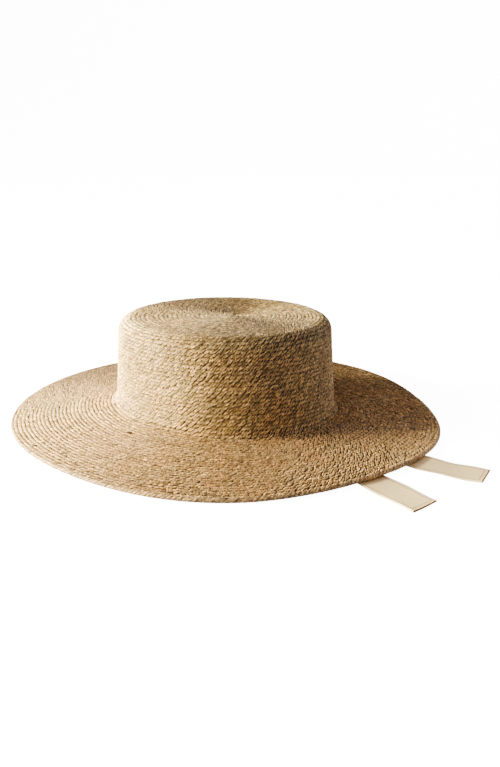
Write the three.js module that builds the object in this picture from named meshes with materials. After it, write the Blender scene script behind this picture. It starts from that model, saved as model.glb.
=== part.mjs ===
// A wide-brimmed, flat-crowned hat of sewn jute braid with two cotton ties, lying on its brim.
// Millimetres. +Z is up, -Y is the front of the hat and +X is the wearer's left.
// The origin is the middle of the brim, on the surface that the hat lies on.
import * as THREE from "three";

// The braid's wall, and the gap that neighbouring pieces keep
const WALL = 3;
const GAP = 0.3;
const SIDES = 72; // steps round the hat

// Crown: a slightly oval drum with a rounded top edge and a hollow foot
const CROWN_AXIS = { x: -2.3, y: 0.9 };
const CROWN_HALF_LENGTH = 91.5; // front to back, just under the top edge
const CROWN_HALF_WIDTH = 88.5;
const TIP_HEIGHT = 85;
const TIP_DISH = 2.5; // how far the middle of the flat top sinks
const TIP_CORNER = 10.5; // radius of the top edge
const WALL_BATTER = 3.6; // how much the wall widens on its way down
const FOOT_FILLET = 6; // radius of the hollow turn from wall to brim
const FOOT = { height: 9.2, tilt: 3.9, highAt: 135 }; // top of the brim at the crown

// Brim: nearly flat, its width going in and out in slow waves
const BRIM_WIDTH = 94.5;
const BRIM_WAVES = [
  { lobes: 1, depth: 0.65, crest: 72 },
  { lobes: 2, depth: 4.25, crest: -123 },
  { lobes: 3, depth: 1.65, crest: -99 },
  { lobes: 4, depth: 0.65, crest: -65 },
  { lobes: 5, depth: 1.2, crest: -72 },
  { lobes: 6, depth: 0.75, crest: -16 },
];
const BRIM_STEPS = 4; // steps across the brim
const BRIM_UNDERSIDE = 0.1; // how far the brim's outer end stands above its edge row's flat

// Edge: the last, thicker row of braid, which the hat lies on
const EDGE_WIDTH = 5;
const EDGE_HEIGHT = 3.3;
const EDGE_ROUNDING = [
  { inward: 1.6, up: 0 },
  { inward: 0.5, up: 0.16 },
  { inward: 0, up: 0.5 },
  { inward: 0.5, up: 0.84 },
  { inward: 1.6, up: 1 },
];
const EDGE_LIFT = { height: 3, at: -95, reach: 42 }; // the front rises over the two ties

// Ties: flat tapes from inside the crown, over the floor and out under the front of the brim
const TIE_LENGTH = 290;
const TIE_WIDTH = 25;
const TIE_THICKNESS = 1;
const TIE_STEP = 5; // along the tape
const TIE_STRIPS = 4; // across the tape
const TIE_BEND = 6; // radius of the turn from the floor up the crown's wall
const TIE_WALL_ROOM = 40; // height on the wall that the tape is fitted to
const TIE_FOLD_REACH = 45; // how far ahead and behind the ear the fold line follows the wall
const TIES = {
  tie_right: {
    side: -1,
    end: { x: -57.6, y: -233.1 },
    slant: -0.22, // how far the cut end leans back per millimetre of width
    route: [
      { at: 0, heading: 78 },
      { at: 50, heading: 76 },
      { at: 110, heading: 88 },
      { at: 170, heading: 108 },
      { at: 240, heading: 132 },
      { at: 300, heading: 136 },
    ],
  },
  tie_left: {
    side: 1,
    end: { x: 13.7, y: -238.1 },
    slant: 0.07,
    route: [
      { at: 0, heading: 109 },
      { at: 50, heading: 92 },
      { at: 110, heading: 79 },
      { at: 170, heading: 64 },
      { at: 240, heading: 47 },
      { at: 300, heading: 42 },
    ],
  },
};

const JUTE = { color: 0xb89468, roughness: 0.95, metalness: 0 };
const COTTON = { color: 0xe6d8bd, roughness: 0.9, metalness: 0 };

const { degToRad, lerp } = THREE.MathUtils;
const angles = Array.from({ length: SIDES }, (_, i) => (i * 2 * Math.PI) / SIDES);
const footRadius = WALL_BATTER + FOOT_FILLET;

// Radius of the crown's outside under the top edge, at an angle round the hat.
function crownRadius(angle) {
  return 1 / Math.hypot(Math.sin(angle) / CROWN_HALF_LENGTH, Math.cos(angle) / CROWN_HALF_WIDTH);
}

function footHeight(angle) {
  return FOOT.height + FOOT.tilt * Math.cos(angle - degToRad(FOOT.highAt));
}

function rimRadius(angle) {
  const waves = BRIM_WAVES.map((w) => w.depth * Math.cos(w.lobes * (angle - degToRad(w.crest))));
  return crownRadius(angle) + BRIM_WIDTH + waves.reduce((sum, wave) => sum + wave, 0);
}

// Height of the rim's underside: zero, but for a soft rise over the ties.
function rimLift(angle) {
  const away = Math.abs(Math.atan2(
    Math.sin(angle - degToRad(EDGE_LIFT.at)),
    Math.cos(angle - degToRad(EDGE_LIFT.at)),
  ));
  const share = Math.min(away / degToRad(EDGE_LIFT.reach), 1);
  return EDGE_LIFT.height * Math.cos((share * Math.PI) / 2) ** 2;
}

// A point at a radius and an angle round the crown's axis.
function around(radius, angle, height) {
  return new THREE.Vector3(
    CROWN_AXIS.x + radius * Math.cos(angle),
    CROWN_AXIS.y + radius * Math.sin(angle),
    height,
  );
}

// A closed mesh over a row of loops. Joined, the last loop meets the first;
// otherwise each end is closed by a fan to the middle of its loop.
function skin(loops, joined) {
  const count = loops[0].length;
  const points = loops.flat();
  const faces = [];
  const steps = joined ? loops.length : loops.length - 1;
  const at = (i, j) => (i % loops.length) * count + (j % count);
  for (let i = 0; i < steps; i++) {
    for (let j = 0; j < count; j++) {
      faces.push(at(i, j), at(i + 1, j), at(i + 1, j + 1));
      faces.push(at(i, j), at(i + 1, j + 1), at(i, j + 1));
    }
  }
  if (!joined) {
    const first = points.push(middle(loops[0])) - 1;
    const last = points.push(middle(loops.at(-1))) - 1;
    for (let j = 0; j < count; j++) {
      faces.push(first, at(0, j), at(0, j + 1));
      faces.push(last, at(steps, j + 1), at(steps, j));
    }
  }
  const geometry = new THREE.BufferGeometry().setFromPoints(points);
  geometry.setIndex(faces);
  geometry.computeVertexNormals();
  return geometry;
}

function middle(loop) {
  return loop.reduce((sum, p) => sum.add(p), new THREE.Vector3()).divideScalar(loop.length);
}

// The crown's profile from near the axis down to the foot, a distance inside its outer face.
function crownProfile(angle, inset) {
  const radius = crownRadius(angle);
  const foot = footHeight(angle);
  const tip = [0.15, 0.4, 0.7].map((share) => ({
    radius: share * (radius - TIP_CORNER),
    height: TIP_HEIGHT - inset - TIP_DISH * (1 - share ** 2),
  }));
  const corner = [90, 72, 54, 36, 18, 0].map((turn) => ({
    radius: radius - TIP_CORNER + (TIP_CORNER - inset) * Math.cos(degToRad(turn)),
    height: TIP_HEIGHT - TIP_CORNER + (TIP_CORNER - inset) * Math.sin(degToRad(turn)),
  }));
  const wall = [0.33, 0.67].map((share) => ({
    radius: radius - inset + share * WALL_BATTER,
    height: lerp(TIP_HEIGHT - TIP_CORNER, foot + FOOT_FILLET, share),
  }));
  const fillet = [0, 30, 60, 90].map((turn) => ({
    radius: radius + footRadius - (FOOT_FILLET + inset) * Math.cos(degToRad(turn)),
    height: foot + FOOT_FILLET - (FOOT_FILLET + inset) * Math.sin(degToRad(turn)),
  }));
  return [...tip, ...corner, ...wall, ...fillet];
}

// The outer face from the tip down, the cut at the foot, and the inner face back up.
function crown() {
  const profiles = angles.map((angle) => [
    ...crownProfile(angle, 0),
    ...crownProfile(angle, WALL).reverse(),
  ]);
  const loops = profiles[0].map((_, row) =>
    angles.map((angle, i) => around(profiles[i][row].radius, angle, profiles[i][row].height)),
  );
  return skin(loops, false);
}

// Each section goes in over the top of the brim and out again underneath.
function brim() {
  const loops = angles.map((angle) => {
    const inner = crownRadius(angle) + footRadius + GAP;
    const outer = rimRadius(angle) - EDGE_WIDTH - GAP;
    const rim = rimLift(angle) + WALL + BRIM_UNDERSIDE;
    const top = Array.from({ length: BRIM_STEPS + 1 }, (_, i) => i / BRIM_STEPS).map((share) =>
      around(lerp(outer, inner, share), angle, lerp(rim, footHeight(angle), share)),
    );
    const under = top.map((p) => p.clone().setZ(p.z - WALL)).reverse();
    return [...top, ...under];
  });
  return skin(loops, true);
}

function brimEdge() {
  const loops = angles.map((angle) => {
    const radius = rimRadius(angle);
    const lift = rimLift(angle);
    const rounded = EDGE_ROUNDING.map((p) =>
      around(radius - p.inward, angle, lift + p.up * EDGE_HEIGHT),
    );
    const inner = radius - EDGE_WIDTH;
    return [...rounded, around(inner, angle, lift + EDGE_HEIGHT), around(inner, angle, lift)];
  });
  return skin(loops, true);
}

// Heading of a tape's middle line, in degrees, a distance from its cut end.
function headingAt(route, at) {
  const next = Math.max(1, route.findIndex((row) => row.at >= at));
  const [a, b] = [route[next - 1], route[next]];
  return lerp(a.heading, b.heading, (at - a.at) / (b.at - a.at));
}

// The tape's middle line, laid out flat as if the floor went on beyond the crown's wall.
function tapeLine(tie) {
  const line = [{ x: tie.end.x, y: tie.end.y, turn: degToRad(tie.route[0].heading) }];
  for (let at = 0; at < TIE_LENGTH; at += TIE_STEP) {
    const turn = degToRad(headingAt(tie.route, at + TIE_STEP / 2));
    const { x, y } = line.at(-1);
    line.push({ x: x + TIE_STEP * Math.cos(turn), y: y + TIE_STEP * Math.sin(turn), turn });
  }
  return line;
}

// Folds a point of the flat tape up the inside of the crown's wall, standing off by
// half the thickness, with the side of the tape given by face: 1 on top, -1 underneath.
function foldUp(tie, x, y, face) {
  const half = TIE_THICKNESS / 2;
  const drop = 1 - TIE_WALL_ROOM / (TIP_HEIGHT - TIP_CORNER);
  const batter = WALL_BATTER * drop - WALL - GAP - half;
  const ahead = Math.min(Math.abs(y - CROWN_AXIS.y), TIE_FOLD_REACH);
  const share = ahead / (CROWN_HALF_LENGTH + batter);
  const reach = (CROWN_HALF_WIDTH + batter) * Math.sqrt(1 - share ** 2);
  const outward = tie.side * (x - CROWN_AXIS.x);
  const past = outward - (reach - TIE_BEND);
  if (past <= 0) {
    return new THREE.Vector3(x, y, half + face * half);
  }
  const turn = Math.min(past / TIE_BEND, Math.PI / 2);
  const up = Math.max(0, past - (TIE_BEND * Math.PI) / 2);
  const radius = TIE_BEND - face * half;
  return new THREE.Vector3(
    CROWN_AXIS.x + tie.side * (reach - TIE_BEND + radius * Math.sin(turn)),
    y,
    half + TIE_BEND - radius * Math.cos(turn) + up,
  );
}

function tape(tie) {
  const shares = Array.from({ length: TIE_STRIPS + 1 }, (_, i) => i / TIE_STRIPS - 0.5);
  const loops = tapeLine(tie).map(({ x, y, turn }, i) => {
    const slant = i === 0 ? tie.slant : 0;
    const row = (face) => shares.map((share) => {
      const across = share * TIE_WIDTH;
      const along = slant * across;
      return foldUp(
        tie,
        x - across * Math.sin(turn) + along * Math.cos(turn),
        y + across * Math.cos(turn) + along * Math.sin(turn),
        face,
      );
    });
    return [...row(1), ...row(-1).reverse()];
  });
  return skin(loops, false);
}

function piece(name, geometry, finish) {
  const mesh = new THREE.Mesh(geometry, new THREE.MeshStandardMaterial(finish));
  mesh.name = name;
  return mesh;
}

const hat = new THREE.Group();
hat.add(piece("crown", crown(), JUTE));
hat.add(piece("brim", brim(), JUTE));
hat.add(piece("brim_edge", brimEdge(), JUTE));
for (const [name, tie] of Object.entries(TIES)) {
  hat.add(piece(name, tape(tie), COTTON));
}

export default hat;
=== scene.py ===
import math

import bpy
import numpy as np
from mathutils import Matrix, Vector


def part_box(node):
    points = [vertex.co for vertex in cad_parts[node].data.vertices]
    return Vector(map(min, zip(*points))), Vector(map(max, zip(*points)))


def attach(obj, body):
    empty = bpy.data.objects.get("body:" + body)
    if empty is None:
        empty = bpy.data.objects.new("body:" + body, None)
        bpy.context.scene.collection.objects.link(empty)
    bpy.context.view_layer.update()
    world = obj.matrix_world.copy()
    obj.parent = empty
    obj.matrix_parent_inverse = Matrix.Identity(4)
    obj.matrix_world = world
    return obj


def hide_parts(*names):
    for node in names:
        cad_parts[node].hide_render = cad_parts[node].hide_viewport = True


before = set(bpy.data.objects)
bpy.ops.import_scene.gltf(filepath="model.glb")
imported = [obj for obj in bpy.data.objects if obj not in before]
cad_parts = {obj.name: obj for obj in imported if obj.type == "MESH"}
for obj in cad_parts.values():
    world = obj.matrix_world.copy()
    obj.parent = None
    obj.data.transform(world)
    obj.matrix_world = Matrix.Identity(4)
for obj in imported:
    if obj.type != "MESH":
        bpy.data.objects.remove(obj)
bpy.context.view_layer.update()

MM = 0.001
SEED = 41
TURN = 2 * math.pi

# The hat's form: that of its solids, but with a shallower tip, a lower lift of the rim and a
# little sag to the front left, which bring the outline closer to the photograph's
CROWN_LOW, CROWN_HIGH = (np.array(corner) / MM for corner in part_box("crown"))
TIP_DISH = 1.6
TIP_CORNER = 10.5
WALL_BATTER = 3.6
FOOT_FILLET = 6.0
FOOT_RADIUS = WALL_BATTER + FOOT_FILLET
CROWN_AXIS = (CROWN_LOW[:2] + CROWN_HIGH[:2]) / 2
CROWN_HALF_WIDTH, CROWN_HALF_LENGTH = (CROWN_HIGH[:2] - CROWN_LOW[:2]) / 2 - FOOT_RADIUS
TIP_HEIGHT = CROWN_HIGH[2]
FOOT = {"height": 9.2, "tilt": 3.9, "high_at": 135}
WALL = 3.0
BRIM_WIDTH = 94.5
BRIM_WAVES = [
    {"lobes": 1, "depth": 0.65, "crest": 72},
    {"lobes": 2, "depth": 4.25, "crest": -123},
    {"lobes": 3, "depth": 1.65, "crest": -99},
    {"lobes": 4, "depth": 0.65, "crest": -65},
    {"lobes": 5, "depth": 1.2, "crest": -72},
    {"lobes": 6, "depth": 0.75, "crest": -16},
]
EDGE_LIFT = {"height": 2.2, "at": -95, "reach": 42}
FRONT_REACH = {"more": 2.6, "at": -130, "spread": 75}
EDGE_HEIGHT = 3.3

# Rows of braid, counted outwards from the middle of the tip
FIRST_ROW = 0.4
BACKING_START = 0.3
TIP_ROWS = 23
CORNER_ROWS = 5
WALL_ROWS = 19
FILLET_ROWS = 3
BRIM_ROWS = 26
CORNER_START = TIP_ROWS
WALL_START = CORNER_START + CORNER_ROWS
FILLET_START = WALL_START + WALL_ROWS
BRIM_START = FILLET_START + FILLET_ROWS
RIM_ROW = BRIM_START + BRIM_ROWS
SWIRL = np.array([12.0, 0.0])  # the spiral's middle, off the crown's axis

# The roped edge outside the last braid row: strands, each with its half width and half
# thickness, round a helix; the rope's middle lies inset from the rim, and takes room off the brim
ROPE = {
    "strands": 3,
    "turns": 112,
    "helix": 0.85,
    "wide": 1.2,
    "thick": 0.9,
    "inset": 1.4025,
    "room": 2.145,
    "uneven": 0.1,
    "tone": 0.2,
    # painted shade where the strands meet, darkest at the edges of each strand's width
    "painted_rope_shade": 0.9,
    "steps": 12,
    "sides": 6,
    "helix_knots": 240,
    "tone_knots": 260,
}

ROPE_FIBRES_APART = 40

# One visible crossing of a braid yarn; two neighbours make a strand
STITCH_SPACING = 2.3  # along the row
STITCH_REACH = 2.4  # half its run along the row
STITCH_RISE = 0.62  # half its run across the row, in rows
STITCH_TILT = 0.34  # how far its inner end goes under the row before, and its outer end stands proud
TIP_TILT = 0.02  # the same on the tip
STITCH_DIVE = 0.75  # how deep its ends go under the neighbours
STITCH_PROUD = 0.35  # how far the yarns stand over the hat's smooth outer face
OUTER_REACH = 0.14  # how much further out one yarn of each strand goes than the other
PAIRING = {"middle": 0.05, "outer": 0.65}  # how far the two yarns of a strand lie together
YARN_WIDTH = 1.36
YARN_THICK = 1.25
YARN_TAPER = {"wide": 0.4, "thick": 0.2}
YARN_TIGHTEST = 4.0  # the least radius that a yarn lies round, near the spiral's middle
YARN_RINGS = 4
YARN_SIDES = 5
FIBRES_APART = 900
DIVE_CURVE = 3.5
CHANCE = {
    "spacing": 0.05,
    "reach": 0.08,
    "along": 0.08,
    "slope": 0.1,
    "across": 0.07,
    "depth": 0.1,
    "width": 0.14,
}
# Painted shade: how far a yarn's colour is darkened towards its ends, where it goes under others
SHADE = {"inner_curve": 1.7, "outer": 0.6, "outer_curve": 4}

# Lightness from 0 to 1: each strand's own, which drifts along the braid, and chance
TONE = {"middle": 0.5, "drift": 0.09, "chance": 0.13, "tip_chance": 0.16}
DRIFT_RUN = 55.0
DRIFT_PAST_END = 200.0
DARKEST = 0.15
# Painted light and shade: the stitches' tone is raised at the brim's front and lowered at its back,
# raised a little on the wall, and lowered on the tip, which is lighter at its left than at its right
PAINTED_LIGHT = {"brim": 0.24, "at": -108, "wall": 0.05, "tip": -0.14, "tip_slope": 0.19, "tip_at": 135}
# Dark flecks and one crack on the brim, each with its angle, its distance from the crown's
# axis and its reach in millimetres, and other flecks by chance
FLECKS = [
    (121.5, 145.4, 1.4),
    (127.2, 139.1, 1.3),
    (125.0, 138.6, 1.3),
    (122.8, 138.2, 1.3),
    (120.5, 137.8, 1.3),
    (118.2, 137.4, 1.2),
    (167.6, 173.7, 1.6),
    (172.4, 107.2, 1.5),
    (183.7, 111.5, 1.5),
    (177.6, 163.5, 1.3),
    (-68.5, 164.5, 1.2),
]
FLECK_CHANCE = 0.006
FLECK_TONE = 0.09

# Tapes
TIE_LENGTH = 290.0
TIE_WIDTH = 25.0
TIE_BEND = 6.0
TIE_WALL_ROOM = 40.0
TIE_FOLD_REACH = 45.0
TIE_HALF_THICK = 0.5
TIE_HALF_CLOTH = 0.42
TIE_COLUMNS = 19
TIE_END_FADE = 12.0  # the end's slant fades out over this length
HEM = {"line": 9.9, "stitch": 2.3, "end": 3.2}
GAP = 0.3
# How far the shown part's edges stand off the surface, up to where, and how they settle there
RIPPLE = {"height": 0.7, "shown": 75.0, "settles": 25.0, "shift": 1.5}
TIES = {
    "tie_right": {
        "side": -1,
        "end": (-53.9, -231.7),
        "slant": -0.14,
        "ripple": 7.5,
        "route": [(0, 78), (50, 76), (110, 88), (170, 108), (240, 132), (300, 136)],
    },
    "tie_left": {
        "side": 1,
        "end": (17.8, -237.2),
        "slant": 0.07,
        "ripple": 5.5,
        "route": [(0, 109), (50, 92), (110, 79), (170, 64), (240, 47), (300, 42)],
    },
}

# Backing under the yarns: its depth, how far the brim's inner edge is tucked under the
# crown's, and the ridges of its rows below
BACKING = {"depth": 0.8, "tuck": 0.5, "overlap": 0.8, "ridge": 0.8, "columns": 240}

# The photograph's view
CAMERA_DISTANCE = 700.0
CAMERA_AZIMUTH = -45.0
CAMERA_ELEVATION = 18.74
CAMERA_AIM = {"right": 21.3, "up": 23.75}
FOCAL_PIXELS = 793.1
FRAME_PIXELS_HIGH = 767
SENSOR = 36.0
CLIP_START = 0.01

# Light: a small near lamp and two wide low ones, all from the left of the picture, in a dim
# warm room that is lighter to the front. Azimuths are in the hat's frame; metres and watts.
NEAR_LAMP = {"azimuth": 146, "elevation": 34, "distance": 0.6, "size": (0.18, 0.18), "power": 4.0}
LOW_LAMP = {"azimuth": 127, "elevation": 3, "distance": 2.5, "size": (0.5, 0.5), "power": 230}
SIDE_LAMP = {"azimuth": 155, "elevation": 3, "distance": 2.5, "size": (0.5, 0.5), "power": 52}
LAMP_COLOUR = (1.0, 0.972, 0.775)
ROOM = {"strength": 0.375, "to_front": 0.38, "from_below": 0.4, "colour": (1.0, 0.93, 0.98)}
LAMP_AIM_HEIGHT = 0.03
HORIZON = 0.08
LOOK = "AgX - Very High Contrast"
FLOOR = {"middle": 2.0, "radius": 5.0, "bend": 1.0, "wall": 3.0, "glow": 2.6, "drop": 0.0001}
FLOOR_COLUMNS = 96

rng = np.random.default_rng(SEED)


# Camera, lights and floor

def place_camera():
    azimuth, elevation = math.radians(CAMERA_AZIMUTH), math.radians(CAMERA_ELEVATION)
    back = np.array([math.sin(azimuth), -math.cos(azimuth), 0.0])
    right = np.array([math.cos(azimuth), math.sin(azimuth), 0.0])
    axis = np.array([*CROWN_AXIS, 0.0])
    up = np.array([0.0, 0.0, 1.0])
    spot = axis + CAMERA_DISTANCE * (math.cos(elevation) * back + math.sin(elevation) * up)
    aim = axis + CAMERA_AIM["right"] * right + CAMERA_AIM["up"] * up
    data = bpy.data.cameras.new("camera")
    data.sensor_fit = "VERTICAL"
    data.sensor_height = SENSOR
    data.lens = FOCAL_PIXELS * SENSOR / FRAME_PIXELS_HIGH
    data.clip_start = CLIP_START
    camera = bpy.data.objects.new("camera", data)
    camera.location = Vector(spot * MM)
    camera.rotation_euler = Vector(aim - spot).to_track_quat("-Z", "Y").to_euler()
    bpy.context.scene.collection.objects.link(camera)
    bpy.context.scene.camera = camera


def add_lamp(name, lamp):
    azimuth, elevation = math.radians(lamp["azimuth"]), math.radians(lamp["elevation"])
    away = Vector(
        (
            math.cos(azimuth) * math.cos(elevation),
            math.sin(azimuth) * math.cos(elevation),
            math.sin(elevation),
        )
    )
    data = bpy.data.lights.new(name, "AREA")
    data.shape = "ELLIPSE"
    data.size, data.size_y = lamp["size"]
    data.energy = lamp["power"]
    data.color = LAMP_COLOUR
    thing = bpy.data.objects.new(name, data)
    thing.location = away * lamp["distance"] + Vector((0, 0, LAMP_AIM_HEIGHT))
    thing.rotation_euler = (-away).to_track_quat("-Z", "Y").to_euler()
    thing.visible_camera = False
    bpy.context.scene.collection.objects.link(thing)


def light_studio():
    add_lamp("near_lamp", NEAR_LAMP)
    add_lamp("low_lamp", LOW_LAMP)
    add_lamp("side_lamp", SIDE_LAMP)
    world = bpy.data.worlds.new("studio")
    world.use_nodes = True
    tree = world.node_tree
    background = tree.nodes["Background"]
    background.inputs["Color"].default_value = (*ROOM["colour"], 1)
    heading = tree.nodes.new("ShaderNodeTexCoord")
    parts = tree.nodes.new("ShaderNodeSeparateXYZ")
    tree.links.new(heading.outputs["Generated"], parts.inputs["Vector"])
    product = tree.nodes.new("ShaderNodeMath")
    product.operation = "MULTIPLY"
    front = ROOM["strength"] * (1 + ROOM["to_front"])
    back = ROOM["strength"] * (1 - ROOM["to_front"])
    grades = [("Y", -1, 1, front, back), ("Z", -HORIZON, HORIZON, ROOM["from_below"], 1)]
    for number, (axis, low, high, start, end) in enumerate(grades):
        grade = tree.nodes.new("ShaderNodeMapRange")
        for key, value in zip(("From Min", "From Max", "To Min", "To Max"), (low, high, start, end)):
            grade.inputs[key].default_value = value
        tree.links.new(parts.outputs[axis], grade.inputs["Value"])
        tree.links.new(grade.outputs["Result"], product.inputs[number])
    tree.links.new(product.outputs["Value"], background.inputs["Strength"])
    bpy.context.scene.world = world
    bpy.context.scene.view_settings.look = LOOK


def lay_floor():
    """A pale round floor that turns up into a wall far behind the hat, on every side."""
    profile = [(0.0, 0.0), (FLOOR["middle"], 0.0)]
    for turn in np.linspace(0, math.pi / 2, 13):
        out, up = math.sin(turn), 1 - math.cos(turn)
        profile.append((FLOOR["radius"] + FLOOR["bend"] * out, FLOOR["bend"] * up))
    profile.append((FLOOR["radius"] + FLOOR["bend"], FLOOR["wall"]))
    columns = FLOOR_COLUMNS
    angle = np.arange(columns) * TURN / columns
    radius, height = np.array(profile).T
    points = np.stack(
        [
            np.outer(radius, np.cos(angle)),
            np.outer(radius, np.sin(angle)),
            np.outer(height - FLOOR["drop"], np.ones(columns)),
        ],
        -1,
    )
    mesh = bpy.data.meshes.new("floor")
    mesh.from_pydata(
        points.reshape(-1, 3).tolist(), [], grid_faces(len(profile), columns, True).tolist()
    )
    mesh.shade_smooth()
    floor = bpy.data.objects.new("floor", mesh)
    bpy.context.scene.collection.objects.link(floor)
    material = bpy.data.materials.new("floor")
    material.use_nodes = True
    shader = material.node_tree.nodes["Principled BSDF"]
    shader.inputs["Base Color"].default_value = (0.8, 0.8, 0.8, 1)
    shader.inputs["Roughness"].default_value = 0.9
    shader.inputs["Emission Color"].default_value = (1.0, 1.0, 1.0, 1)
    shader.inputs["Emission Strength"].default_value = FLOOR["glow"]
    floor.visible_diffuse = False
    floor.data.materials.append(material)


# The hat's outer face

def crown_radius(angle):
    return 1 / np.hypot(np.sin(angle) / CROWN_HALF_LENGTH, np.cos(angle) / CROWN_HALF_WIDTH)


def foot_height(angle):
    return FOOT["height"] + FOOT["tilt"] * np.cos(angle - math.radians(FOOT["high_at"]))


def rim_radius(angle):
    waves = (w["depth"] * np.cos(w["lobes"] * (angle - math.radians(w["crest"]))) for w in BRIM_WAVES)
    away = np.abs((angle - math.radians(FRONT_REACH["at"]) + math.pi) % TURN - math.pi)
    share = np.minimum(away / math.radians(FRONT_REACH["spread"]), 1)
    sag = FRONT_REACH["more"] * np.cos(share * math.pi / 2) ** 2
    return crown_radius(angle) + BRIM_WIDTH + sum(waves) + sag


def rim_lift(angle):
    away = np.abs((angle - math.radians(EDGE_LIFT["at"]) + math.pi) % TURN - math.pi)
    share = np.minimum(away / math.radians(EDGE_LIFT["reach"]), 1)
    return EDGE_LIFT["height"] * np.cos(share * math.pi / 2) ** 2


def surface(angle, row):
    """Points of the outer face, row being the number of braid rows out from the tip's middle."""
    angle, row = np.broadcast_arrays(angle, row)
    radius, foot = crown_radius(angle), foot_height(angle)
    tip = np.clip(row / TIP_ROWS, 0, 1)
    corner = np.clip((row - CORNER_START) / CORNER_ROWS, 0, 1) * math.pi / 2
    wall = np.clip((row - WALL_START) / WALL_ROWS, 0, 1)
    fillet = np.clip((row - FILLET_START) / FILLET_ROWS, 0, 1) * math.pi / 2
    brim = np.clip((row - BRIM_START) / BRIM_ROWS, 0, None)
    brim_run = rim_radius(angle) - ROPE["room"] - radius - FOOT_RADIUS
    out = (
        tip * (radius - TIP_CORNER)
        + TIP_CORNER * np.sin(corner)
        + wall * WALL_BATTER
        + FOOT_FILLET * (1 - np.cos(fillet))
        + brim * brim_run
    )
    height = (
        TIP_HEIGHT
        - TIP_DISH * (1 - tip**2)
        - TIP_CORNER * (1 - np.cos(corner))
        - wall * (TIP_HEIGHT - TIP_CORNER - foot - FOOT_FILLET)
        - FOOT_FILLET * np.sin(fillet)
        - brim * (foot - rim_lift(angle) - EDGE_HEIGHT)
    )
    x = CROWN_AXIS[0] + SWIRL[0] * (1 - tip) + out * np.cos(angle)
    y = CROWN_AXIS[1] + SWIRL[1] * (1 - tip) + out * np.sin(angle)
    return np.stack([x, y, height], -1)


def unit(vectors):
    return vectors / np.maximum(np.linalg.norm(vectors, axis=-1, keepdims=True), 1e-9)


def surface_normal(angle, row):
    step = 0.02
    row = np.maximum(row, BACKING_START)
    along = surface(angle + step, row) - surface(angle - step, row)
    inward = surface(angle, row - step) - surface(angle, row + step)
    return unit(np.cross(along, inward))


# Meshes

def make_object(name, points, faces, slot, attributes=(), look=None):
    """A smooth mesh from millimetre points and lists of faces, with point attributes."""
    mesh = bpy.data.meshes.new(name)
    mesh.from_pydata((points * MM).tolist(), [], faces)
    mesh.shade_smooth()
    for key, values in attributes:
        kind, field = ("FLOAT_VECTOR", "vector") if values.ndim == 2 else ("FLOAT", "value")
        layer = mesh.attributes.new(key, kind, "POINT")
        layer.data.foreach_set(field, values.astype(np.float32).ravel())
    thing = bpy.data.objects.new(name, mesh)
    bpy.context.scene.collection.objects.link(thing)
    thing.data.materials.append(MATERIALS[look or slot])
    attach(thing, "root")
    return thing


def grid_faces(rows, columns, flip, closed=False):
    """Quads over a grid of points that closes on itself in its second direction, or in both."""
    i, j = np.meshgrid(np.arange(rows if closed else rows - 1), np.arange(columns), indexing="ij")
    below, after = (i + 1) % rows, (j + 1) % columns
    a, b = i * columns + j, i * columns + after
    c, d = below * columns + after, below * columns + j
    order = [a, b, c, d] if flip else [a, d, c, b]
    return np.stack(order, -1).reshape(-1, 4)


def strand_faces(count, rings, sides):
    """Faces of a run of strands, each with rings of points and then its two end points."""
    ring, side = np.meshgrid(np.arange(rings - 1), np.arange(sides), indexing="ij")
    after = (side + 1) % sides
    a, b = ring * sides + side, ring * sides + after
    c, d = a + sides, b + sides
    quads = np.stack([a, b, d, a, d, c], -1).reshape(-1, 3)
    rim = np.arange(sides)
    first, last = rings * sides, rings * sides + 1
    start = np.stack([np.full(sides, first), (rim + 1) % sides, rim], -1)
    base = (rings - 1) * sides
    end = np.stack([np.full(sides, last), base + rim, base + (rim + 1) % sides], -1)
    one = np.concatenate([quads, start, end])
    size = rings * sides + 2
    return (one[None] + (np.arange(count) * size)[:, None, None]).reshape(-1, 3)


def strands(centres, normals, widths, thicks, sides):
    """Closed strands along centres (strand, ring, xyz), flattened against the normals.

    Returns the points, and each point's place in its strand: along, sideways and up.
    """
    forward = unit(np.gradient(centres, axis=1))
    sideways = unit(np.cross(normals, forward))
    upward = np.cross(forward, sideways)
    turn = np.arange(sides) * TURN / sides
    inner = slice(1, -1)
    across = widths[..., None] / 2 * np.cos(turn)
    above = thicks[..., None] / 2 * np.sin(turn)
    rings = (
        centres[:, inner, None]
        + sideways[:, inner, None] * across[:, inner, :, None]
        + upward[:, inner, None] * above[:, inner, :, None]
    )
    steps = np.linalg.norm(np.diff(centres, axis=1), axis=2)
    run = np.concatenate([np.zeros((len(centres), 1)), np.cumsum(steps, axis=1)], axis=1)
    shape = rings.shape[:3]
    place = np.stack(
        [np.broadcast_to(run[:, inner, None], shape), across[:, inner], above[:, inner]], -1
    )
    ends = centres[:, [0, -1]]
    end_place = np.stack([run[:, [0, -1]], np.zeros((len(run), 2)), np.zeros((len(run), 2))], -1)
    count = len(centres)
    points = np.concatenate([rings.reshape(count, -1, 3), ends], axis=1)
    places = np.concatenate([place.reshape(count, -1, 3), end_place], axis=1)
    return points, places


# Braid

def spiral_rows(first, last):
    """The row number of each stitch along the spiral, evenly spaced in millimetres."""
    step = 1 / 360
    rows = np.arange(first, last, step)
    points = surface(TURN * rows, rows)
    lengths = np.concatenate([[0], np.cumsum(np.linalg.norm(np.diff(points, axis=0), axis=1))])
    marks = np.arange(0, lengths[-1], STITCH_SPACING)
    marks = marks + rng.normal(0, CHANCE["spacing"] * STITCH_SPACING, len(marks))
    return np.interp(marks, lengths, rows), marks


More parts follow.
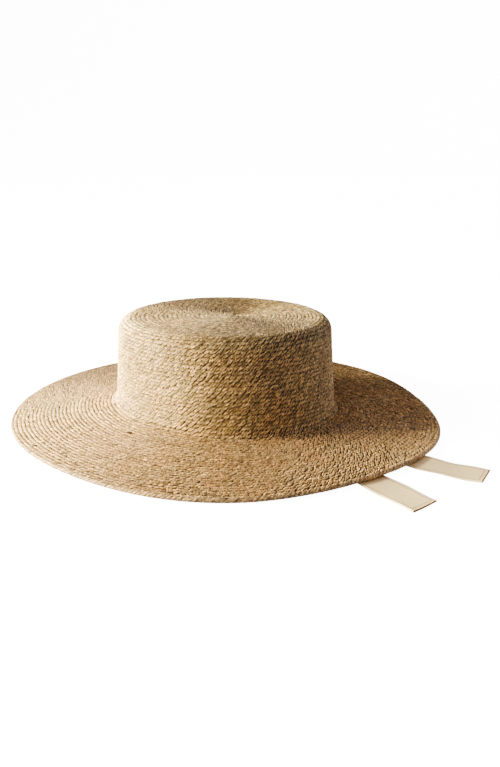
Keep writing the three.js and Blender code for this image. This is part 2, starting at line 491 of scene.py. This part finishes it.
def strand_tones(marks):
    """Lightness of each stitch: three strands that change slowly along the braid, plus chance."""
    knots = np.arange(0, marks.max() + DRIFT_PAST_END, DRIFT_RUN)
    strand = np.arange(len(marks)) // 2 % 3
    slow = np.zeros(len(marks))
    for number in range(3):
        values = rng.normal(0, 1, len(knots))
        slow = np.where(strand == number, np.interp(marks, knots, values), slow)
    return TONE["middle"] + TONE["drift"] * slow + TONE["chance"] * rng.normal(0, 1, len(marks))


def painted_light_and_flecks(rows, tones):
    """The stitches' lightness with painted light and shade by place on the brim, wall and tip, and
    with the hat's flecks.
    """
    angle = TURN * rows
    on_brim = np.clip((rows - FILLET_START) / FILLET_ROWS, 0, 1)
    # Painted light and shade: lighter at the brim's front, on the wall and at the tip's left, darker
    # at the brim's back and on the tip
    pale = PAINTED_LIGHT["brim"] * np.cos(angle - math.radians(PAINTED_LIGHT["at"])) * on_brim
    off_tip = np.clip((rows - TIP_ROWS) / CORNER_ROWS, 0, 1)
    slope = PAINTED_LIGHT["tip_slope"] * np.cos(angle - math.radians(PAINTED_LIGHT["tip_at"])) * rows / TIP_ROWS
    pale = pale + PAINTED_LIGHT["wall"] * (1 - on_brim) * off_tip + (PAINTED_LIGHT["tip"] + slope) * (1 - off_tip)
    chance = TONE["tip_chance"] * rng.normal(0, 1, len(rows)) * (1 - off_tip)
    tones = np.clip(tones + pale + chance, DARKEST, 1)
    place = surface(angle, rows)[:, :2] - CROWN_AXIS
    for degrees, radius, reach in FLECKS:
        spot = radius * np.array([math.cos(math.radians(degrees)), math.sin(math.radians(degrees))])
        near = (np.linalg.norm(place - spot, axis=1) < reach) & (on_brim == 1)
        tones = np.where(near, 0, tones)
    return np.where(rng.random(len(rows)) < FLECK_CHANCE, FLECK_TONE, tones)


def stitches(rows, tones, pair_sides):
    """The visible crossings of the braid's yarns at the given rows of its spiral."""
    count = len(rows)
    t = np.linspace(-1, 1, YARN_RINGS + 2)[None]
    angle = (TURN * rows)[:, None]
    row = rows[:, None]
    spot = surface(angle, row)
    middle = np.array([*CROWN_AXIS, 0.0])
    radius = np.maximum(np.linalg.norm((spot - middle)[..., :2], axis=-1), YARN_TIGHTEST)

    def chance(what):
        return rng.normal(0, CHANCE[what], (count, 1))

    together = PAIRING["middle"] + (PAIRING["outer"] - PAIRING["middle"]) * np.maximum(-t, 0) ** 2
    pair = pair_sides[:, None]
    along = STITCH_REACH * t * (1 + chance("reach")) + chance("along") + together * pair
    outer = np.maximum(-t, 0) * OUTER_REACH * pair
    rise = STITCH_RISE * t * (1 + chance("slope")) - outer * STITCH_RISE + chance("across")
    turn = along / radius
    at_angle, at_row = angle + turn, row + turn / TURN - rise
    normals = surface_normal(at_angle, at_row)
    tilt = TIP_TILT + (STITCH_TILT - TIP_TILT) * np.clip((row - TIP_ROWS) / CORNER_ROWS, 0, 1)
    depth = YARN_THICK / 2 - STITCH_PROUD + STITCH_DIVE * np.abs(t) ** DIVE_CURVE + tilt * t
    depth = depth + chance("depth")
    centres = surface(at_angle, at_row) - normals * depth[..., None]
    widths = YARN_WIDTH * (1 - YARN_TAPER["wide"] * t**2) * (1 + chance("width"))
    thicks = YARN_THICK * (1 - YARN_TAPER["thick"] * t**2) * np.ones((count, 1))
    points, places = strands(centres, normals, widths, thicks, YARN_SIDES)
    places = places + rng.uniform(0, FIBRES_APART, (count, 1, 3))
    # Painted shade: the yarn's colour darkens towards its ends, where it goes under others, through
    # the depth attribute
    inner_end = np.maximum(t[0, 1:-1], 0) ** SHADE["inner_curve"]
    outer_end = SHADE["outer"] * np.maximum(-t[0, 1:-1], 0) ** SHADE["outer_curve"]
    painted_shade = np.concatenate([np.repeat(inner_end + outer_end, YARN_SIDES), [SHADE["outer"], 1]])
    return {
        "points": points.reshape(-1, 3),
        "faces": strand_faces(count, YARN_RINGS, YARN_SIDES),
        "fibre": places.reshape(-1, 3),
        "tone": np.repeat(tones, points.shape[1]),
        "depth": np.tile(painted_shade, count),
        "brim": np.repeat(np.clip((rows - FILLET_START) / FILLET_ROWS, 0, 1), points.shape[1]),
    }


def braid_piece(name, part, node):
    attributes = [(key, part[key]) for key in ("fibre", "tone", "depth", "brim")]
    piece = make_object(name, part["points"], part["faces"].tolist(), "jute_braid", attributes)
    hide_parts(node)
    return piece


def lay_braid():
    rows, marks = spiral_rows(FIRST_ROW, RIM_ROW)
    # the stitches' tones, with painted light and shade by place and the flecks
    tones = painted_light_and_flecks(rows, strand_tones(marks))
    pair_sides = np.where(np.arange(len(marks)) % 2, -1, 1)
    bands = [
        ("crown_top_braid", 0, WALL_START, "crown"),
        ("crown_side_braid", WALL_START, WALL_START + 0.5 * WALL_ROWS, "crown"),
        ("crown_foot_braid", WALL_START + 0.5 * WALL_ROWS, BRIM_START, "crown"),
        ("brim_inner_braid", BRIM_START, BRIM_START + 0.4 * BRIM_ROWS, "brim"),
        ("brim_middle_braid", BRIM_START + 0.4 * BRIM_ROWS, BRIM_START + 0.72 * BRIM_ROWS, "brim"),
        ("brim_outer_braid", BRIM_START + 0.72 * BRIM_ROWS, RIM_ROW + 1, "brim"),
    ]
    for name, low, high, node in bands:
        chosen = (rows >= low) & (rows < high)
        braid_piece(name, stitches(rows[chosen], tones[chosen], pair_sides[chosen]), node)


# Backing: what shows in the gaps and from below, coloured dark as painted shade

def backing(name, first, last, node):
    columns = BACKING["columns"]
    angle = (np.arange(columns) * TURN / columns)[None]
    count = math.ceil(last - first)
    upper_rows = np.linspace(first, last, count + 1)[:, None]
    lower_rows = np.linspace(last, first, 2 * count + 1)[:, None]
    is_ring = first > BACKING_START
    tucked = np.clip(1 - (upper_rows - first), 0, 1) if is_ring else 0 * upper_rows
    upper_depth = BACKING["depth"] + BACKING["tuck"] * tucked
    upper = surface(angle, upper_rows) - surface_normal(angle, upper_rows) * upper_depth[..., None]
    ridge = np.abs(np.cos(math.pi * (lower_rows - angle / TURN)))
    depth = WALL + BACKING["ridge"] * (ridge - 1)
    lower = surface(angle, lower_rows) - surface_normal(angle, lower_rows) * depth[..., None]
    points = np.concatenate([upper, lower])
    total = points.reshape(-1, 3)
    if is_ring:
        faces = grid_faces(len(points), columns, False, closed=True).tolist()
    else:
        total = np.concatenate([total, points[[0, -1]].mean(axis=1)])
        faces = grid_faces(len(points), columns, False).tolist() + disc_faces(len(points), columns)
    piece = make_object(name, total, faces, "jute_braid", look="backing")
    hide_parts(node)


def disc_faces(rows, columns):
    """Fans that close a grid's first and last row to the two points after the grid."""
    top, last_row = rows * columns, (rows - 1) * columns
    fans = [[top, j, (j + 1) % columns] for j in range(columns)]
    return fans + [[top + 1, last_row + (j + 1) % columns, last_row + j] for j in range(columns)]


# Roped edge

def closed_chance(angle, count):
    """Random values at each angle round a closed run, smooth between count knots."""
    values = rng.normal(0, 1, count)
    values[-1] = values[0]
    return np.interp(angle, np.linspace(0, TURN, count), values)


def rope_strand(number, angle, middle):
    """One strand's points, their places in its fibres, and their lightness."""
    sides, count = ROPE["sides"], len(angle)
    outward = np.stack([np.cos(angle), np.sin(angle), 0 * angle], -1)
    upward = np.array([0.0, 0.0, 1.0])
    phase = (angle * ROPE["turns"] + number * TURN / ROPE["strands"])[:, None]
    helix = ROPE["helix"] * (1 + ROPE["uneven"] * closed_chance(angle, ROPE["helix_knots"]))
    centre = middle + helix[:, None] * (np.cos(phase) * outward + np.sin(phase) * upward)
    forward = unit(np.roll(centre, -1, axis=0) - np.roll(centre, 1, axis=0))
    side = unit(np.cross(unit(centre - middle), forward))
    away = np.cross(forward, side)
    turn = np.arange(sides) * TURN / sides
    points = (
        centre[:, None]
        + ROPE["wide"] * np.cos(turn)[None, :, None] * side[:, None]
        + ROPE["thick"] * np.sin(turn)[None, :, None] * away[:, None]
    )
    length = np.concatenate([[0], np.cumsum(np.linalg.norm(np.diff(centre, axis=0), axis=1))])
    across, above = np.tile(np.cos(turn), count), np.tile(np.sin(turn), count)
    place = [np.repeat(length, sides), across, above + ROPE_FIBRES_APART * number]
    tones = TONE["middle"] + ROPE["tone"] * closed_chance(angle, ROPE["tone_knots"])
    return points.reshape(-1, 3), np.stack(place, -1), np.repeat(tones, sides)


def rope_edge():
    count, sides = ROPE["turns"] * ROPE["steps"], ROPE["sides"]
    angle = np.arange(count) * TURN / count
    radius = rim_radius(angle) - ROPE["inset"]
    height = rim_lift(angle) + ROPE["helix"] + ROPE["thick"]
    x, y = CROWN_AXIS[0] + radius * np.cos(angle), CROWN_AXIS[1] + radius * np.sin(angle)
    middle = np.stack([x, y, height], -1)
    made = [rope_strand(number, angle, middle) for number in range(ROPE["strands"])]
    points, fibre, tone = (np.concatenate(kind) for kind in zip(*made))
    quads = grid_faces(count, sides, True, closed=True)
    faces = np.concatenate([quads + number * count * sides for number in range(ROPE["strands"])])
    # Painted shade: each rope strand's colour darkens at the edges of its width, where the strands
    # meet
    painted_rope_shade = ROPE["painted_rope_shade"] * np.cos(np.arange(sides) * TURN / sides) ** 2
    attributes = [
        ("fibre", fibre),
        ("tone", tone),
        ("depth", np.tile(painted_rope_shade, ROPE["strands"] * count)),
        ("brim", np.ones(len(points))),
    ]
    piece = make_object("brim_edge_rope", points, faces.tolist(), "jute_braid", attributes)
    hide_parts("brim_edge")


# Tapes

def tape_line(tie, step):
    at = np.arange(0, TIE_LENGTH + step / 2, step)
    route_at, route_heading = np.array(tie["route"]).T
    turn = np.radians(np.interp(at[:-1] + step / 2, route_at, route_heading))
    x = tie["end"][0] + np.concatenate([[0], np.cumsum(step * np.cos(turn))])
    y = tie["end"][1] + np.concatenate([[0], np.cumsum(step * np.sin(turn))])
    return at, x, y, np.radians(np.interp(at, route_at, route_heading))


def fold_up(tie, x, y, rise):
    """Folds the flat tape up the inside of the crown; rise is the height over its middle face."""
    drop = 1 - TIE_WALL_ROOM / (TIP_HEIGHT - TIP_CORNER)
    batter = WALL_BATTER * drop - WALL - GAP - TIE_HALF_THICK
    ahead = np.minimum(np.abs(y - CROWN_AXIS[1]), TIE_FOLD_REACH)
    share = ahead / (CROWN_HALF_LENGTH + batter)
    reach = (CROWN_HALF_WIDTH + batter) * np.sqrt(1 - share**2)
    past = tie["side"] * (x - CROWN_AXIS[0]) - (reach - TIE_BEND)
    turn = np.clip(past / TIE_BEND, 0, math.pi / 2)
    up = np.maximum(past - TIE_BEND * math.pi / 2, 0)
    radius = TIE_BEND - rise
    bent_x = CROWN_AXIS[0] + tie["side"] * (reach - TIE_BEND + radius * np.sin(turn))
    bent_z = TIE_HALF_THICK + TIE_BEND - radius * np.cos(turn) + up
    flat = past <= 0
    return np.stack(
        [np.where(flat, x, bent_x), y, np.where(flat, TIE_HALF_THICK + rise, bent_z)], -1
    )


def tape(name, tie):
    at, x, y, turn = tape_line(tie, 1.0)
    across = np.linspace(-0.5, 0.5, TIE_COLUMNS) * TIE_WIDTH
    fade = np.clip(1 - at / TIE_END_FADE, 0, 1)[:, None]
    along = tie["slant"] * across[None] * fade
    flat_x = x[:, None] - across * np.sin(turn)[:, None] + along * np.cos(turn)[:, None]
    flat_y = y[:, None] + across * np.cos(turn)[:, None] + along * np.sin(turn)[:, None]
    side = np.abs(across)[None] / (TIE_WIDTH / 2)
    shift = RIPPLE["shift"] * np.sign(across)[None]
    ripple = 0.5 + 0.5 * np.sin(at[:, None] / tie["ripple"] + tie["side"] + shift)
    shown = np.clip((RIPPLE["shown"] - at) / RIPPLE["settles"], 0, 1)[:, None]
    lift = RIPPLE["height"] * ripple * side**2 * shown
    upper, lower = (fold_up(tie, flat_x, flat_y, lift + face * TIE_HALF_CLOTH) for face in (1, -1))
    place = np.stack(np.broadcast_arrays(at[:, None], across[None], 0.0), -1)
    loop = np.concatenate([upper, lower[:, ::-1]], axis=1)
    fibre = np.concatenate([place, place[:, ::-1]], axis=1)
    rows, size = len(at), 2 * TIE_COLUMNS
    j = np.arange(TIE_COLUMNS - 1)
    start = np.stack([j, j + 1, size - 2 - j, size - 1 - j], -1)
    end = (rows - 1) * size + start[:, ::-1]
    faces = np.concatenate([grid_faces(rows, size, False), start, end]).tolist()
    attributes = [("fibre", fibre.reshape(-1, 3))]
    piece = make_object(name + "_tape", loop.reshape(-1, 3), faces, "cotton_tape", attributes)
    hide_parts(name)


# Materials

def new_material(name, roughness, sheen, specular):
    material = bpy.data.materials.new(name)
    material.use_nodes = True
    shader = material.node_tree.nodes["Principled BSDF"]
    shader.inputs["Roughness"].default_value = roughness
    shader.inputs["Sheen Weight"].default_value = sheen
    shader.inputs["Sheen Roughness"].default_value = 0.5
    shader.inputs["Specular IOR Level"].default_value = specular
    return material, material.node_tree, shader


def node(tree, kind, **inputs):
    made = tree.nodes.new(kind)
    for key, value in inputs.items():
        made.inputs[key.replace("_", " ")].default_value = value
    return made


def attribute(tree, key):
    made = tree.nodes.new("ShaderNodeAttribute")
    made.attribute_name = key
    return made


def ramp(tree, stops):
    made = tree.nodes.new("ShaderNodeValToRGB")
    elements = made.color_ramp.elements
    while len(elements) < len(stops):
        elements.new(0.5)
    for element, (position, colour) in zip(elements, stops):
        element.position = position
        element.color = (*colour, 1)
    return made


def scaled(tree, vector, scale):
    made = tree.nodes.new("ShaderNodeMapping")
    made.inputs["Scale"].default_value = scale
    tree.links.new(vector, made.inputs["Vector"])
    return made.outputs["Vector"]


def multiply(tree, a, b):
    made = tree.nodes.new("ShaderNodeMix")
    made.data_type = "RGBA"
    made.blend_type = "MULTIPLY"
    made.inputs["Factor"].default_value = 1.0
    tree.links.new(a, made.inputs["A"])
    tree.links.new(b, made.inputs["B"])
    return made.outputs["Result"]


def jute_material():
    material, tree, shader = new_material("jute_braid", 0.7, 0.12, 0.3)
    link = tree.links.new
    fibre = attribute(tree, "fibre").outputs["Vector"]
    streaks = node(tree, "ShaderNodeTexNoise", Scale=1.0, Detail=3.0, Roughness=0.6)
    link(scaled(tree, fibre, (0.45, 1.2, 1.2)), streaks.inputs["Vector"])
    colours = ramp(
        tree,
        [
            (0.36, (0.31, 0.215, 0.115)),
            (0.50, (0.55, 0.385, 0.195)),
            (0.64, (0.84, 0.62, 0.325)),
        ],
    )
    link(streaks.outputs["Fac"], colours.inputs["Fac"])
    # The tone attribute carries each stitch's own tone and flecks, and painted light and shade by
    # place on the hat
    tone = ramp(
        tree,
        [
            (0.0, (0.2, 0.17, 0.14)),
            (0.15, (0.58, 0.58, 0.58)),
            (0.5, (0.95, 0.95, 0.95)),
            (1.0, (1.4, 1.4, 1.4)),
        ],
    )
    link(attribute(tree, "tone").outputs["Fac"], tone.inputs["Fac"])
    # Painted shade: the depth attribute darkens the yarns' ends and the rope strands' edges
    painted_shade = ramp(tree, [(0.0, (1.04, 1.04, 1.04)), (1.0, (0.40, 0.40, 0.43))])
    link(attribute(tree, "depth").outputs["Fac"], painted_shade.inputs["Fac"])
    place = tree.nodes.new("ShaderNodeTexCoord").outputs["Object"]
    patches = node(tree, "ShaderNodeTexNoise", Scale=38.0, Detail=2.0, Roughness=0.6)
    link(place, patches.inputs["Vector"])
    tint = ramp(
        tree,
        [(0.35, (1.02, 0.975, 0.95)), (0.5, (0.98, 0.98, 0.98)), (0.65, (0.965, 0.985, 1.02))],
    )
    link(patches.outputs["Fac"], tint.inputs["Fac"])
    shade = colours.outputs["Color"]
    warmth = ramp(tree, [(0.0, (0.98, 1.0, 1.0)), (1.0, (1.0, 0.955, 0.93))])
    link(attribute(tree, "brim").outputs["Fac"], warmth.inputs["Fac"])
    grain = node(tree, "ShaderNodeTexNoise", Scale=780.0, Detail=3.0, Roughness=0.7)
    link(place, grain.inputs["Vector"])
    speckle = ramp(
        tree,
        [(0.38, (0.60, 0.59, 0.59)), (0.5, (0.98, 0.98, 0.98)), (0.62, (1.32, 1.32, 1.31))],
    )
    link(grain.outputs["Fac"], speckle.inputs["Fac"])
    for layer in (tone, painted_shade, tint, warmth, speckle):
        shade = multiply(tree, shade, layer.outputs["Color"])
    link(shade, shader.inputs["Base Color"])
    bump = node(tree, "ShaderNodeBump", Strength=0.9, Distance=0.0006)
    link(streaks.outputs["Fac"], bump.inputs["Height"])
    link(bump.outputs["Normal"], shader.inputs["Normal"])
    return material


def painted_shade_backing_material():
    material, tree, shader = new_material("jute_backing_painted_shade", 0.9, 0.2, 0.2)
    link = tree.links.new
    place = tree.nodes.new("ShaderNodeTexCoord").outputs["Object"]
    grain = node(tree, "ShaderNodeTexNoise", Scale=350.0, Detail=4.0, Roughness=0.7)
    link(place, grain.inputs["Vector"])
    # Painted shade: the backing is coloured far darker than the yarns, standing in for the shade in
    # the gaps between them and on the hat's underside
    colours = ramp(tree, [(0.35, (0.07, 0.05, 0.034)), (0.65, (0.20, 0.14, 0.09))])
    link(grain.outputs["Fac"], colours.inputs["Fac"])
    link(colours.outputs["Color"], shader.inputs["Base Color"])
    bump = node(tree, "ShaderNodeBump", Strength=0.7, Distance=0.0006)
    link(grain.outputs["Fac"], bump.inputs["Height"])
    link(bump.outputs["Normal"], shader.inputs["Normal"])
    return material


def maths(tree, operation, *values):
    """A math node on up to three sockets or numbers."""
    made = tree.nodes.new("ShaderNodeMath")
    made.operation = operation
    for socket, value in zip(made.inputs, values):
        if isinstance(value, bpy.types.NodeSocket):
            tree.links.new(value, socket)
        else:
            socket.default_value = value
    return made.outputs["Value"]


def cotton_material():
    """Cream cotton with a hem stitched along both edges and the end, and a raw brown cut."""
    material, tree, shader = new_material("cotton_tape", 0.85, 0.15, 0.25)
    link = tree.links.new
    fibre = attribute(tree, "fibre").outputs["Vector"]
    mottle = node(tree, "ShaderNodeTexNoise", Scale=0.12, Detail=4.0, Roughness=0.6)
    link(fibre, mottle.inputs["Vector"])
    colours = ramp(
        tree,
        [(0.38, (0.95, 0.77, 0.435)), (0.5, (1.0, 0.80, 0.46)), (0.62, (1.0, 0.765, 0.46))],
    )
    link(mottle.outputs["Fac"], colours.inputs["Fac"])
    parts = tree.nodes.new("ShaderNodeSeparateXYZ")
    link(fibre, parts.inputs["Vector"])
    along, across = parts.outputs["X"], maths(tree, "ABSOLUTE", parts.outputs["Y"])
    from_line = maths(tree, "SUBTRACT", HEM["line"], across)
    from_end = maths(tree, "SUBTRACT", along, HEM["end"])
    line = maths(tree, "COMPARE", maths(tree, "MINIMUM", from_line, from_end), 0, 0.5)
    phase = maths(tree, "ADD", along, parts.outputs["Y"])
    beat = maths(tree, "SINE", maths(tree, "MULTIPLY", phase, TURN / HEM["stitch"]))
    stitch = maths(tree, "MULTIPLY", line, maths(tree, "MULTIPLY_ADD", beat, 0.3, 0.55))
    thread = ramp(tree, [(0.0, (1, 1, 1)), (0.25, (0.93, 0.90, 0.85)), (0.85, (0.55, 0.46, 0.36))])
    link(stitch, thread.inputs["Fac"])
    cut = ramp(tree, [(0.0, (0.3, 0.17, 0.09)), (0.055, (0.36, 0.22, 0.12)), (0.08, (1, 1, 1))])
    ragged = node(tree, "ShaderNodeTexNoise", Scale=0.5, Detail=1.0)
    link(fibre, ragged.inputs["Vector"])
    uneven = maths(tree, "MULTIPLY", ragged.outputs["Fac"], 0.2)
    link(maths(tree, "MULTIPLY", along, uneven), cut.inputs["Fac"])
    shade = multiply(tree, colours.outputs["Color"], thread.outputs["Color"])
    shade = multiply(tree, shade, cut.outputs["Color"])
    link(shade, shader.inputs["Base Color"])
    weave = node(tree, "ShaderNodeTexNoise", Scale=2.5, Detail=3.0, Roughness=0.6)
    link(fibre, weave.inputs["Vector"])
    height = maths(tree, "SUBTRACT", weave.outputs["Fac"], stitch)
    bump = node(tree, "ShaderNodeBump", Strength=0.5, Distance=0.0003)
    link(height, bump.inputs["Height"])
    link(bump.outputs["Normal"], shader.inputs["Normal"])
    return material


place_camera()
light_studio()
lay_floor()
MATERIALS = {
    "jute_braid": jute_material(),
    "backing": painted_shade_backing_material(),
    "cotton_tape": cotton_material(),
}
lay_braid()
backing("crown_backing", BACKING_START, BRIM_START, "crown")
backing("brim_backing", BRIM_START - BACKING["overlap"], RIM_ROW + 0.5, "brim")
rope_edge()
for tie_name, tie_row in TIES.items():
    tape(tie_name, tie_row)
